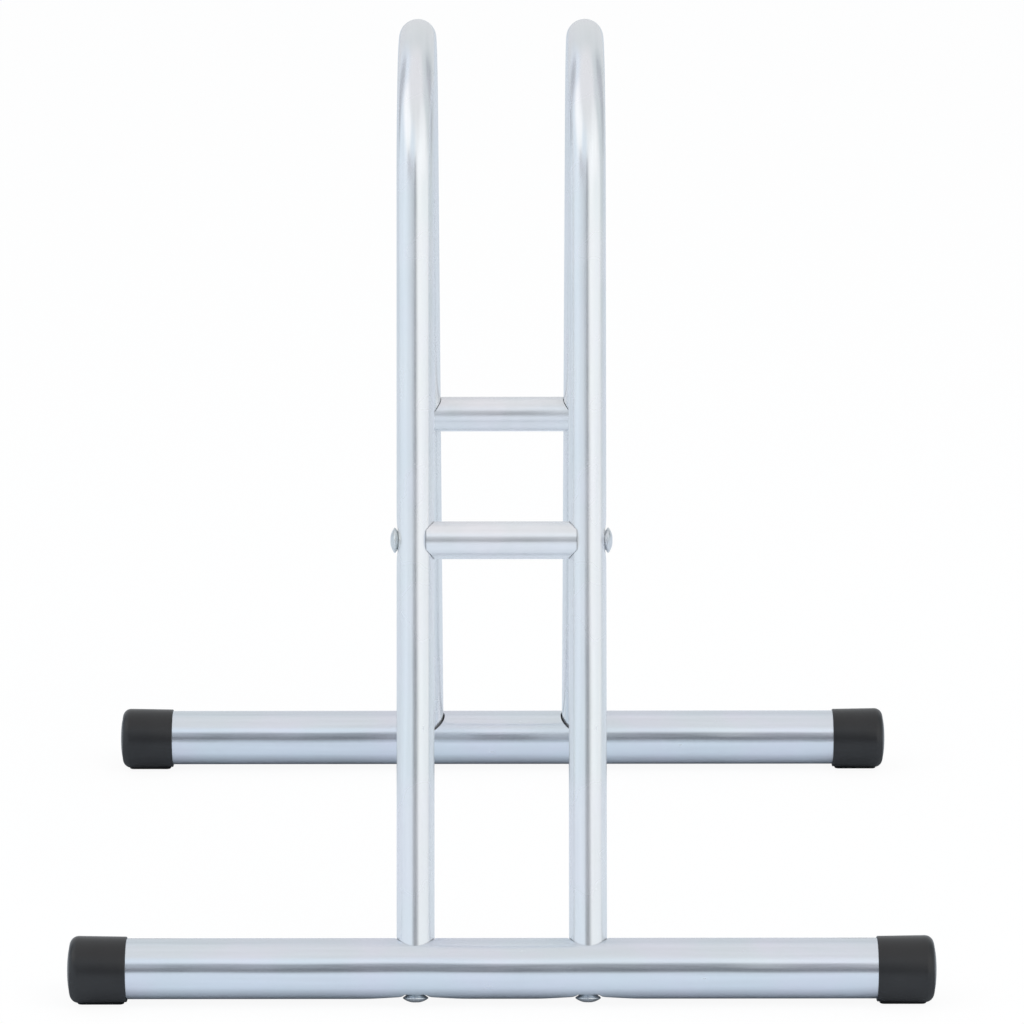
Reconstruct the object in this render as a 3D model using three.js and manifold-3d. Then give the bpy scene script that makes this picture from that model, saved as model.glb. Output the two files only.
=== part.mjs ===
// Floor bike rack for one wheel: two A-shaped tube hoops stand side by side on two base tubes.
// Millimetres. X runs along the base tubes, the front is -Y, Z is up, and the origin is on the floor
// at the middle of the rack. Left is -X.
import * as THREE from "three";
import { mergeVertices } from "three/addons/utils/BufferGeometryUtils.js";
import Module from "manifold-3d";

// ---- Driving dimensions, each one settable by itself ----

// Stance
const BASE_SPACING = 412; // front base tube's axis to the rear one's
const HOOP_SPACING = 91; // left hoop's axis to the right one's
const LEG_LEAN = THREE.MathUtils.degToRad(17); // each leg's tilt from upright
const BEND_RADIUS = 88.5; // hoop's top bend, at the tube's axis
const RUNG_ALONG_LEG = 226; // base tube's axis to the rung's axis, along the leg

// Tubes
const HOOP_TUBE_DIAMETER = 20;
const HOOP_WALL = 1.5;
const BASE_TUBE_DIAMETER = 32;
const BASE_WALL = 1.5;
const BASE_TUBE_LENGTH = 449;
const RUNG_TUBE_DIAMETER = 20;
const RUNG_WALL = 1.5;
const RUNG_TIP_SETBACK = 5.2; // blunt tip of a fish-mouth end, from the leg's axis

// End caps
const CAP_LENGTH = 31.2;
const CAP_MOUTH_WALL = 0.95; // mean of top and bottom
const CAP_TAPER = 0.4; // how much the closed end's radius passes the mouth's
const CAP_DROP = 0.35; // how far the cap's outside lies below its bore
const CAP_END_WALL = 4.2; // at the middle of the closed end
const CAP_END_CROWN = 1.1; // how far the closed end bulges
const CAP_END_FILLET = 4.8;
const CAP_LIP_ROUND = 0.5;
const SOLE_WIDTH = 11;
const SOLE_PROUD = 0.2; // flat sole below the widest round of the cap
const SOLE_END_SETBACK = 5; // sole from the cap's closed end
const SOLE_MOUTH_SETBACK = 1.5; // sole from the cap's mouth
const SOLE_CORNER = 2.5;

// Bolts and the threaded plugs that they screw into
const THREAD_DIAMETER = 6;
const HEAD_DIAMETER = 13.4;
const HEAD_NECK_STEP = 1.4; // small end of the cone under the head, round the thread
const HEAD_CONE_HEIGHT = 1.7;
const HEAD_RIM_HEIGHT = 0.5;
const HEAD_DOME_HEIGHT = 2.2;
const SOCKET_ACROSS_FLATS = 4;
const SOCKET_DEPTH = 2;
const TIP_CHAMFER = 0.7;
const PLUG_LENGTH = 14;
const THREAD_GRIP = 11; // thread that lies inside a plug
const BASE_HEAD_FLOOR_GAP = 1; // base bolt's head above the floor
const RUNG_SEAT_DEPTH = 1; // rung bolt's seat pressed into the leg

// Clearances
const SEAT_GAP = 0.3; // between pieces that seat on each other
const LEG_HOLE_GAP = 0.8; // hole in the base tube over the leg, in radius
const LEG_HOLE_SHIFT = 0.5; // towards the rack's middle, so each leg bears on its hole's outer side
const CUT_OVERRUN = 2; // how far a cutting shape passes the surface that it opens

// Facets
const TUBE_SIDES = 24;
const BORE_SIDES = 20;
const BASE_SIDES = 32;
const CAP_SIDES = 32;
const BOLT_SIDES = 16;
const BEND_STEPS = 16;
const ARC_STEPS = 4;
const LIP_STEPS = 2;
const SOCKET_SIDES = 6;

// ---- Places that follow from them ----

const hoopRadius = HOOP_TUBE_DIAMETER / 2;
const baseRadius = BASE_TUBE_DIAMETER / 2;
const rungRadius = RUNG_TUBE_DIAMETER / 2;
const threadRadius = THREAD_DIAMETER / 2;
const headRadius = HEAD_DIAMETER / 2;
const neckRadius = threadRadius + HEAD_NECK_STEP;
const headHeight = HEAD_CONE_HEIGHT + HEAD_RIM_HEIGHT + HEAD_DOME_HEIGHT;
const capBore = baseRadius + SEAT_GAP;
const capMouthRadius = capBore + CAP_MOUTH_WALL;
const capEndRadius = capMouthRadius + CAP_TAPER;
const soleDepth = capEndRadius + CAP_DROP + SOLE_PROUD;
const baseAxisHeight = soleDepth;

// A leg's axis crosses its base tube's axis. It stops where its square end's rim meets the tube's bore.
const legOverrun = Math.sqrt((baseRadius - BASE_WALL - SEAT_GAP) ** 2 - hoopRadius ** 2);
// The base bolt's head keeps off the floor, which sets how deep its seat is pressed.
const baseSeatDistance = (baseAxisHeight - BASE_HEAD_FLOOR_GAP) / Math.cos(LEG_LEAN) - headHeight;
const rungSeatDistance = hoopRadius - RUNG_SEAT_DEPTH;
const rungPlugDistance = hoopRadius + 2 * SEAT_GAP;

// Height of the bend's centre above the base axes: both legs are tangent to the bend.
const halfSpacing = BASE_SPACING / 2;
const bendCentreRise = (halfSpacing * Math.cos(LEG_LEAN) - BEND_RADIUS) / Math.sin(LEG_LEAN);

// ---- Materials ----

const ZINC = { color: 0xc9d0d8, roughness: 0.3, metalness: 1 };
const BOLT_STEEL = { color: 0xc2c8c8, roughness: 0.35, metalness: 1 };
const PLUG_STEEL = { color: 0x8f9296, roughness: 0.5, metalness: 1 };
const BLACK_PLASTIC = { color: 0x2b2b2d, roughness: 0.45, metalness: 0 };

// ---- Solids ----

const manifold = await Module();
manifold.setup();

function toSolid(geometry) {
  const bare = geometry.clone();
  bare.deleteAttribute("normal");
  bare.deleteAttribute("uv");
  const merged = mergeVertices(bare, 1e-4);
  const mesh = new manifold.Mesh({
    numProp: 3,
    vertProperties: new Float32Array(merged.attributes.position.array),
    triVerts: new Uint32Array(merged.index.array),
  });
  return new manifold.Manifold(mesh);
}

function toGeometry(solid) {
  const mesh = solid.getMesh();
  const geometry = new THREE.BufferGeometry();
  geometry.setAttribute("position", new THREE.BufferAttribute(mesh.vertProperties, 3));
  geometry.setIndex(new THREE.BufferAttribute(mesh.triVerts, 1));
  const faceted = geometry.toNonIndexed();
  faceted.computeVertexNormals();
  return faceted;
}

// Cylinder along +Z between two heights.
function rod(radius, low, high, sides) {
  const geometry = new THREE.CylinderGeometry(radius, radius, high - low, sides);
  geometry.rotateX(Math.PI / 2);
  geometry.translate(0, 0, (low + high) / 2);
  return geometry;
}

// Turned piece along +Z from [radius, height] pairs that start and end on the axis, lowest first.
function turned(profile, sides) {
  const points = profile.map(([radius, height]) => new THREE.Vector2(radius, height));
  const geometry = new THREE.LatheGeometry(points, sides);
  geometry.rotateX(Math.PI / 2);
  return geometry;
}

// Points of a round corner as [radius, height] pairs, from one angle to another, both in radians.
function arcPoints(centreRadius, centreHeight, radius, from, to, steps) {
  return Array.from({ length: steps + 1 }, (_, i) => {
    const angle = from + ((to - from) * i) / steps;
    return [centreRadius + radius * Math.cos(angle), centreHeight + radius * Math.sin(angle)];
  });
}

// Turns a +Z piece so that it lies along the given direction.
function aimed(geometry, direction, origin) {
  const turn = new THREE.Quaternion().setFromUnitVectors(new THREE.Vector3(0, 0, 1), direction);
  geometry.applyQuaternion(turn);
  geometry.translate(origin.x, origin.y, origin.z);
  return geometry;
}

// ---- Hoop ----

// A hoop's centreline in its own plane: up the front leg, round the bend, down the rear leg.
// Its few stations lie at the legs' ends and along the bend, so the straight legs stay one step long.
class HoopLine extends THREE.Curve {
  constructor(overrun) {
    super();
    const turn = Math.PI - 2 * LEG_LEAN;
    const bend = Array.from({ length: BEND_STEPS + 1 }, (_, i) => {
      const angle = Math.PI - LEG_LEAN - (turn * i) / BEND_STEPS;
      const y = BEND_RADIUS * Math.cos(angle);
      const z = bendCentreRise + BEND_RADIUS * Math.sin(angle);
      const along = new THREE.Vector3(0, Math.sin(angle), -Math.cos(angle));
      return { point: new THREE.Vector3(0, y, z), along };
    });
    this.stations = [legEnd(-1, overrun), ...bend, legEnd(1, overrun)];
  }

  get steps() {
    return this.stations.length - 1;
  }

  getPoint(t, target = new THREE.Vector3()) {
    const place = t * this.steps;
    const from = Math.min(Math.floor(place), this.steps - 1);
    return target.lerpVectors(this.stations[from].point, this.stations[from + 1].point, place - from);
  }

  getTangent(t, target = new THREE.Vector3()) {
    return target.copy(this.stations[Math.round(t * this.steps)].along);
  }

  getPointAt(u, target) {
    return this.getPoint(u, target);
  }

  getTangentAt(u, target) {
    return this.getTangent(u, target);
  }
}

// Unit vector up a leg, for the front (-1) or rear (+1) one.
function legDirection(end) {
  return new THREE.Vector3(0, -end * Math.sin(LEG_LEAN), Math.cos(LEG_LEAN));
}

// A point on a leg's axis, measured up the leg from the base tube's axis.
function onLeg(end, distance) {
  return new THREE.Vector3(0, end * halfSpacing, 0).addScaledVector(legDirection(end), distance);
}

function legEnd(end, overrun) {
  return { point: onLeg(end, -overrun), along: legDirection(end).multiplyScalar(-end) };
}

function hoopSweep(radius, overrun, sides) {
  const line = new HoopLine(overrun);
  const section = new THREE.Shape().absarc(0, 0, radius, 0, 2 * Math.PI);
  const curveSegments = sides / 2; // a shape's arc gets two sides for each of these
  const options = { steps: line.steps, curveSegments, bevelEnabled: false, extrudePath: line };
  return toSolid(new THREE.ExtrudeGeometry(section, options));
}

// The hollow pressed into a tube for a bolt's head, along +Z with the seat at height 0 and the
// outside below it. A wall of more than 0 gives the same hollow as it shows inside the tube.
function seatShape(wall) {
  const neck = neckRadius + SEAT_GAP + wall;
  const rim = headRadius + SEAT_GAP + wall;
  const inner = SEAT_GAP + wall;
  const coneFoot = -HEAD_CONE_HEIGHT + wall;
  const mouth = rim + HEAD_CONE_HEIGHT;
  const outside = coneFoot - HEAD_CONE_HEIGHT - CUT_OVERRUN;
  return turned([[0, outside], [mouth, outside], [mouth, coneFoot - HEAD_CONE_HEIGHT],
    [rim, coneFoot], [neck, inner], [0, inner]], BOLT_SIDES);
}

// A round tube from its outer and bore solids, with bolt seats pressed in at the given places.
function pressedTube(outer, bore, wall, seats) {
  let inside = bore;
  let tube = outer;
  for (const { origin, direction, depth } of seats) {
    inside = inside.subtract(toSolid(aimed(seatShape(wall), direction, origin)));
    tube = tube.subtract(toSolid(aimed(seatShape(0), direction, origin)));
    const hole = rod(threadRadius + SEAT_GAP, -CUT_OVERRUN, depth, BOLT_SIDES);
    tube = tube.subtract(toSolid(aimed(hole, direction, origin)));
  }
  return tube.subtract(inside);
}

// Side is -1 for the left hoop and +1 for the right one. Its rung bolts enter from that side.
function hoopGeometry(side) {
  const inward = new THREE.Vector3(-side, 0, 0);
  const seats = [-1, 1].map((end) => ({
    origin: onLeg(end, RUNG_ALONG_LEG).addScaledVector(inward, -rungSeatDistance),
    direction: inward,
    depth: rungSeatDistance + hoopRadius + CUT_OVERRUN,
  }));
  const outer = hoopSweep(hoopRadius, legOverrun, TUBE_SIDES);
  const bore = hoopSweep(hoopRadius - HOOP_WALL, legOverrun + CUT_OVERRUN, BORE_SIDES);
  return toGeometry(pressedTube(outer, bore, HOOP_WALL, seats));
}

// ---- Base tube ----

const alongX = new THREE.Vector3(1, 0, 0);

function rodAlongX(radius, halfLength, sides) {
  return aimed(rod(radius, -halfLength, halfLength, sides), alongX, new THREE.Vector3());
}

// Made round its own axis. Both legs enter from above, and both bolts from below.
function baseTubeGeometry(end) {
  const up = legDirection(end);
  const seats = [];
  let outer = toSolid(rodAlongX(baseRadius, BASE_TUBE_LENGTH / 2, BASE_SIDES));
  for (const side of [-1, 1]) {
    const centre = new THREE.Vector3((side * HOOP_SPACING) / 2, 0, 0);
    const legHole = rod(hoopRadius + LEG_HOLE_GAP, 0, BASE_TUBE_DIAMETER, TUBE_SIDES);
    const holeCentre = centre.clone().setY(-end * LEG_HOLE_SHIFT);
    outer = outer.subtract(toSolid(aimed(legHole, up, holeCentre)));
    const origin = centre.clone().addScaledVector(up, -baseSeatDistance);
    seats.push({ origin, direction: up, depth: BASE_WALL + CUT_OVERRUN });
  }
  const boreHalfLength = BASE_TUBE_LENGTH / 2 + CUT_OVERRUN;
  const bore = toSolid(rodAlongX(baseRadius - BASE_WALL, boreHalfLength, BASE_SIDES));
  return toGeometry(pressedTube(outer, bore, BASE_WALL, seats));
}

// ---- Rung ----

// Made round its own axis, with the legs' tubes cut out of both ends.
function rungGeometry(end) {
  const halfLength = HOOP_SPACING / 2 - RUNG_TIP_SETBACK;
  const outer = toSolid(rodAlongX(rungRadius, halfLength, TUBE_SIDES));
  const bore = toSolid(rodAlongX(rungRadius - RUNG_WALL, halfLength + CUT_OVERRUN, BORE_SIDES));
  let rung = outer.subtract(bore);
  for (const side of [-1, 1]) {
    const leg = rod(hoopRadius + SEAT_GAP, -RUNG_TUBE_DIAMETER, RUNG_TUBE_DIAMETER, 2 * TUBE_SIDES);
    const centre = new THREE.Vector3((side * HOOP_SPACING) / 2, 0, 0);
    rung = rung.subtract(toSolid(aimed(leg, legDirection(end), centre)));
  }
  return toGeometry(rung);
}

// ---- End cap ----

// Made along +Z with the base tube's end at height 0 and the closed end above it. The sole faces +X.
function capGeometry() {
  const top = SEAT_GAP + CAP_END_WALL;
  const mouth = top - CAP_LENGTH;
  const lipCentre = capMouthRadius - CAP_LIP_ROUND;
  const endFlat = capEndRadius - CAP_END_FILLET;
  const shoulder = top - CAP_END_CROWN - CAP_END_FILLET;
  const quarter = Math.PI / 2;
  const outside = [
    [0, mouth],
    ...arcPoints(lipCentre, mouth + CAP_LIP_ROUND, CAP_LIP_ROUND, -quarter, 0, LIP_STEPS),
    ...arcPoints(endFlat, shoulder, CAP_END_FILLET, 0, quarter, ARC_STEPS),
    [endFlat / 2, top - CAP_END_CROWN / 8], // the bulge falls away as the cube of the radius
    [0, top],
  ];
  const round = turned(outside, CAP_SIDES).translate(CAP_DROP, 0, 0);
  const body = toSolid(round).add(toSolid(soleGeometry(mouth, top)));
  const bore = toSolid(rod(capBore, mouth - CUT_OVERRUN, SEAT_GAP, CAP_SIDES));
  return toGeometry(body.subtract(bore));
}

// Flat pad under the cap, a block with round corners that starts inside the cap's wall.
// Its outline is drawn with the cap's height along -X, and a quarter turn then stands it up.
function soleGeometry(mouth, top) {
  const low = SOLE_END_SETBACK - top;
  const high = -mouth - SOLE_MOUTH_SETBACK;
  const half = SOLE_WIDTH / 2;
  const outline = new THREE.Shape();
  outline.absarc(low + SOLE_CORNER, -half + SOLE_CORNER, SOLE_CORNER, Math.PI, 1.5 * Math.PI);
  outline.absarc(high - SOLE_CORNER, -half + SOLE_CORNER, SOLE_CORNER, -Math.PI / 2, 0);
  outline.absarc(high - SOLE_CORNER, half - SOLE_CORNER, SOLE_CORNER, 0, Math.PI / 2);
  outline.absarc(low + SOLE_CORNER, half - SOLE_CORNER, SOLE_CORNER, Math.PI / 2, Math.PI);
  outline.closePath();
  const start = baseRadius - CUT_OVERRUN;
  const block = { depth: soleDepth - start, bevelEnabled: false, curveSegments: ARC_STEPS };
  const geometry = new THREE.ExtrudeGeometry(outline, block);
  geometry.translate(0, 0, start);
  geometry.rotateY(Math.PI / 2);
  return geometry;
}

// ---- Bolt and threaded plug ----

// Made along +Z: the head's seat is at height 0, the head below it and the thread above.
function boltGeometry(threadLength) {
  const dome = (headRadius ** 2 + HEAD_DOME_HEIGHT ** 2) / (2 * HEAD_DOME_HEIGHT);
  const edge = Math.asin(headRadius / dome);
  const domeTop = -headHeight;
  const profile = [
    ...arcPoints(0, domeTop + dome, dome, -Math.PI / 2, -Math.PI / 2 + edge, ARC_STEPS),
    [headRadius, -HEAD_CONE_HEIGHT],
    [neckRadius, 0],
    [threadRadius, 0],
    [threadRadius, threadLength - TIP_CHAMFER],
    [threadRadius - TIP_CHAMFER, threadLength],
    [0, threadLength],
  ];
  const socketRadius = SOCKET_ACROSS_FLATS / Math.sqrt(3);
  const socket = rod(socketRadius, domeTop - CUT_OVERRUN, domeTop + SOCKET_DEPTH, SOCKET_SIDES);
  return toGeometry(toSolid(turned(profile, BOLT_SIDES)).subtract(toSolid(socket)));
}

// Made along +Z from height 0, to fit a tube's bore.
function plugGeometry(tubeBore) {
  const body = toSolid(rod(tubeBore - SEAT_GAP, 0, PLUG_LENGTH, BORE_SIDES));
  const thread = rod(threadRadius + SEAT_GAP, -CUT_OVERRUN, PLUG_LENGTH + CUT_OVERRUN, BOLT_SIDES);
  return toGeometry(body.subtract(toSolid(thread)));
}

// ---- Assembly ----

const rack = new THREE.Group();
const frame = new THREE.Group(); // its origin is level with the base tubes' axes
frame.position.z = baseAxisHeight;
rack.add(frame);

function place(parent, name, geometry, finish, position = new THREE.Vector3()) {
  const mesh = new THREE.Mesh(geometry, new THREE.MeshStandardMaterial(finish));
  mesh.name = name;
  mesh.position.copy(position);
  parent.add(mesh);
  return mesh;
}

function point(mesh, direction) {
  mesh.quaternion.setFromUnitVectors(new THREE.Vector3(0, 0, 1), direction);
}

const legBore = hoopRadius - HOOP_WALL;
const rungBore = rungRadius - RUNG_WALL;
const baseThread = baseSeatDistance - legOverrun + THREAD_GRIP;
const rungThread = rungSeatDistance + rungPlugDistance + THREAD_GRIP;
const sides = [["left", -1], ["right", 1]];
const ends = [["front", -1], ["rear", 1]];

for (const [sideName, side] of sides) {
  const hoopPlace = new THREE.Group();
  hoopPlace.position.x = (side * HOOP_SPACING) / 2;
  frame.add(hoopPlace);
  place(hoopPlace, `hoop_${sideName}`, hoopGeometry(side), ZINC);

  const inward = new THREE.Vector3(-side, 0, 0);
  for (const [endName, end] of ends) {
    const name = `${endName}_${sideName}`;
    const up = legDirection(end);
    const baseSeat = onLeg(end, -baseSeatDistance);
    point(place(hoopPlace, `base_bolt_${name}`, boltGeometry(baseThread), BOLT_STEEL, baseSeat), up);
    const legFoot = onLeg(end, -legOverrun);
    point(place(hoopPlace, `leg_nut_${name}`, plugGeometry(legBore), PLUG_STEEL, legFoot), up);

    const rungCentre = onLeg(end, RUNG_ALONG_LEG);
    const rungSeat = rungCentre.clone().addScaledVector(inward, -rungSeatDistance);
    point(place(hoopPlace, `rung_bolt_${name}`, boltGeometry(rungThread), BOLT_STEEL, rungSeat), inward);
    const plugFoot = rungCentre.clone().addScaledVector(inward, rungPlugDistance);
    point(place(hoopPlace, `rung_nut_${name}`, plugGeometry(rungBore), PLUG_STEEL, plugFoot), inward);
  }
}

for (const [endName, end] of ends) {
  const basePlace = new THREE.Group();
  basePlace.position.y = end * halfSpacing;
  frame.add(basePlace);
  place(basePlace, `base_tube_${endName}`, baseTubeGeometry(end), ZINC);
  for (const [sideName, side] of sides) {
    const tubeEnd = new THREE.Vector3((side * BASE_TUBE_LENGTH) / 2, 0, 0);
    const cap = place(basePlace, `end_cap_${endName}_${sideName}`, capGeometry(), BLACK_PLASTIC, tubeEnd);
    cap.rotation.set(0, Math.PI / 2, side > 0 ? 0 : Math.PI, "ZYX"); // closed end out, sole down
  }
  place(frame, `rung_${endName}`, rungGeometry(end), ZINC, onLeg(end, RUNG_ALONG_LEG));
}

export default rack;
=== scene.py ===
"""Floor bike rack for one wheel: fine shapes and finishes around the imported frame.

Metres. X runs along the base tubes, the front is -Y, Z is up and the floor is at height 0. Left is -X.
A piece is modelled upright, along +Z, and then set in its place.
"""

import logging
import math
from dataclasses import dataclass
from enum import Enum
from typing import Callable, Iterable, Sequence

import bpy
from mathutils import Matrix, Vector


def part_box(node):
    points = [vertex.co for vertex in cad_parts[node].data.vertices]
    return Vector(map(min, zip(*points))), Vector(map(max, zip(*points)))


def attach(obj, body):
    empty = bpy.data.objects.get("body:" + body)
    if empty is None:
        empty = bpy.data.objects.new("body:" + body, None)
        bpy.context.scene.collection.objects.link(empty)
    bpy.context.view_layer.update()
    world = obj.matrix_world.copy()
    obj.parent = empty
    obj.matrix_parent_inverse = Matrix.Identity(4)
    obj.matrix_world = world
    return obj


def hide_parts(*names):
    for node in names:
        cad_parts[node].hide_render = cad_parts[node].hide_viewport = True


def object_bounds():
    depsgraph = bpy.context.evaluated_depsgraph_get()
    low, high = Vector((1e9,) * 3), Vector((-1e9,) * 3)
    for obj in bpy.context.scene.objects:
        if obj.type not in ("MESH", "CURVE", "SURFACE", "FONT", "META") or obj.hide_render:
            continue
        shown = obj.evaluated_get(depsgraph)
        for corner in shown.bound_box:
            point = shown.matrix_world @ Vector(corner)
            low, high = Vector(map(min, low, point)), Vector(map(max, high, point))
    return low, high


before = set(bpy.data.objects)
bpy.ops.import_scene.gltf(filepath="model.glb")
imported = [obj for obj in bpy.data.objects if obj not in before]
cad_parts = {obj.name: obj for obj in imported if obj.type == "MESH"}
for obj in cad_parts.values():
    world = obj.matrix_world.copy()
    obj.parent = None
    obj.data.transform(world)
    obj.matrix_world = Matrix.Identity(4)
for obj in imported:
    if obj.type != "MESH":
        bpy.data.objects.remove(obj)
cad_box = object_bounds()

log = logging.getLogger("bike_rack")

MM = 0.001
BODY = "root"
DRAWN = "drawn"  # a piece's own coordinates: two across it, one along it
INNER = "inner"  # 1 on an inner wall, which faces its own axis, and 0 elsewhere; the zinc finish paints shade there
UP = Vector((0, 0, 1))
DOWN = Vector((0, 0, -1))
RIGHTWARD = Vector((1, 0, 0))
SHARP_ANGLE = math.radians(32)  # an edge that turns more than this stays sharp
TINY = 0.01 * MM  # a step that is small beside every feature

Socket = bpy.types.NodeSocket
Colour = tuple[float, float, float, float]
WHITE: Colour = (1, 1, 1, 1)


class Side(Enum):
    """Left or right half of the rack, as a sign along X."""

    LEFT = -1
    RIGHT = 1


class End(Enum):
    """Front or rear half of the rack, as a sign along Y."""

    FRONT = -1
    REAR = 1


def node_name(kind: str, *places: Enum) -> str:
    """Name of a node of the frame, such as end_cap_front_left."""
    return "_".join([kind, *(place.name.lower() for place in places)])


# ---- Main sizes ----


@dataclass(frozen=True)
class RackPlan:
    """Main sizes and places of the rack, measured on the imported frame."""

    base_radius: float
    base_length: float
    base_height: float
    half_spacing: float
    hoop_radius: float
    hoop_offset: float
    lean: float
    bend_radius: float
    bend_height: float
    leg_overrun: float
    rung_radius: float
    rung_distance: float
    overall_length: float

    @classmethod
    def measure(cls) -> "RackPlan":
        """Work the plan out from the boxes of three nodes and of the whole frame.

        Returns:
            The plan.
        """
        base_low, base_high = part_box(node_name("base_tube", End.REAR))
        hoop_low, hoop_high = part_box(node_name("hoop", Side.RIGHT))
        rung_low, rung_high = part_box(node_name("rung", End.REAR))
        low, high = cad_box
        base_radius = (base_high.y - base_low.y) / 2
        base_height = base_high.z - base_radius
        half_spacing = (base_high.y + base_low.y) / 2
        hoop_radius = (hoop_high.x - hoop_low.x) / 2
        rung_y = (rung_high.y + rung_low.y) / 2
        rung_rise = (rung_high.z + rung_low.z) / 2 - base_height
        lean = math.atan2(half_spacing - rung_y, rung_rise)
        apex_rise = half_spacing / math.tan(lean)
        top_rise = hoop_high.z - hoop_radius - base_height
        bend_radius = (apex_rise - top_rise) / (1 / math.sin(lean) - 1)
        foot_drop = base_height - hoop_low.z
        return cls(
            base_radius=base_radius,
            base_length=base_high.x - base_low.x,
            base_height=base_height,
            half_spacing=half_spacing,
            hoop_radius=hoop_radius,
            hoop_offset=(hoop_high.x + hoop_low.x) / 2,
            lean=lean,
            bend_radius=bend_radius,
            bend_height=base_height + top_rise - bend_radius,
            leg_overrun=(foot_drop - hoop_radius * math.sin(lean)) / math.cos(lean),
            rung_radius=(rung_high.z - rung_low.z) / 2,
            rung_distance=rung_rise / math.cos(lean),
            overall_length=high.x - low.x,
        )

    def up_leg(self, end: End) -> Vector:
        """Direction up a leg."""
        return Vector((0, -end.value * math.sin(self.lean), math.cos(self.lean)))

    def on_leg(self, side: Side, end: End, distance: float) -> Vector:
        """Point on a leg's axis.

        Args:
            side: The leg's side.
            end: The leg's end of the rack.
            distance: How far up the leg from the base tube's axis.

        Returns:
            The point.
        """
        foot = Vector((side.value * self.hoop_offset, end.value * self.half_spacing, self.base_height))
        return foot + self.up_leg(end) * distance

    @property
    def leg_length(self) -> float:
        """Length from the base tube's axis to the start of the bend."""
        rise = self.bend_height - self.base_height + self.bend_radius * math.sin(self.lean)
        return rise / math.cos(self.lean)

    @property
    def bend_angle(self) -> float:
        """How far the hoop turns between its legs."""
        return math.pi - 2 * self.lean


@dataclass(frozen=True)
class BoltSizes:
    """Sizes of the dome-head bolts and of the plugs that they screw into."""

    thread_radius: float = 3 * MM
    thread_pitch: float = 1 * MM
    thread_depth: float = 0.3 * MM
    tip_chamfer: float = 0.7 * MM
    head_radius: float = 6.7 * MM
    neck_radius: float = 4.4 * MM
    cone_height: float = 1.7 * MM
    rim_height: float = 0.5 * MM
    dome_height: float = 2.2 * MM
    edge_round: float = 0.12 * MM
    socket_flats: float = 4 * MM
    socket_depth: float = 2 * MM
    plug_length: float = 14 * MM
    plug_chamfer: float = 0.6 * MM
    grip: float = 11 * MM
    floor_gap: float = 1 * MM
    rung_seat_depth: float = 1 * MM
    seat_gap: float = 0.3 * MM
    sides: int = 64

    @property
    def head_height(self) -> float:
        """Height of the whole head."""
        return self.cone_height + self.rim_height + self.dome_height

    @property
    def hole_radius(self) -> float:
        """Clearance hole for the thread."""
        return self.thread_radius + self.seat_gap


# ---- Bench: hand tools for one mesh ----


def clear_selection() -> None:
    """Leave nothing selected, so that an operator acts on the next piece alone."""
    bpy.ops.object.select_all(action="DESELECT")


def stand(origin: Vector, along: Vector, towards: Vector) -> Matrix:
    """Placement of a piece that was modelled upright.

    Args:
        origin: Where the piece's own origin goes.
        along: Where its +Z points.
        towards: Where its +X points, as near as it can.

    Returns:
        The placement.
    """
    z = along.normalized()
    x = (towards - towards.dot(z) * z).normalized()
    turn = Matrix((x, z.cross(x), z)).transposed().to_4x4()
    return Matrix.Translation(origin) @ turn


def soft_min(a: float, b: float, softness: float) -> float:
    """Smaller of two heights, with a rounded change from one to the other.

    Args:
        a: One height.
        b: The other height.
        softness: Difference of the two at which the rounding starts.

    Returns:
        The height.
    """
    overlap = max(softness - abs(a - b), 0) / softness
    return min(a, b) - overlap * overlap * softness / 4


def ring_places(start: float, stop: float, details: Iterable[float], reach: float,
                fine: float, coarse: float) -> list[float]:
    """Places of the rings along a tube, close together near each detail.

    Args:
        start: First ring.
        stop: Last ring.
        details: Middles of the stretches that need close rings.
        reach: Half the length of such a stretch.
        fine: Step inside those stretches.
        coarse: Longest step elsewhere.

    Returns:
        The places, in order.
    """
    places = [start]
    while places[-1] < stop:
        here = places[-1] + fine / 4  # just past the last ring, so that a stretch holds its own start
        near = any(abs(here - detail) < reach for detail in details)
        ahead = [detail - reach - places[-1] for detail in details if detail - reach > here]
        step = fine if near else min([coarse, *ahead])
        places.append(min(places[-1] + step, stop))
    return places


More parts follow.
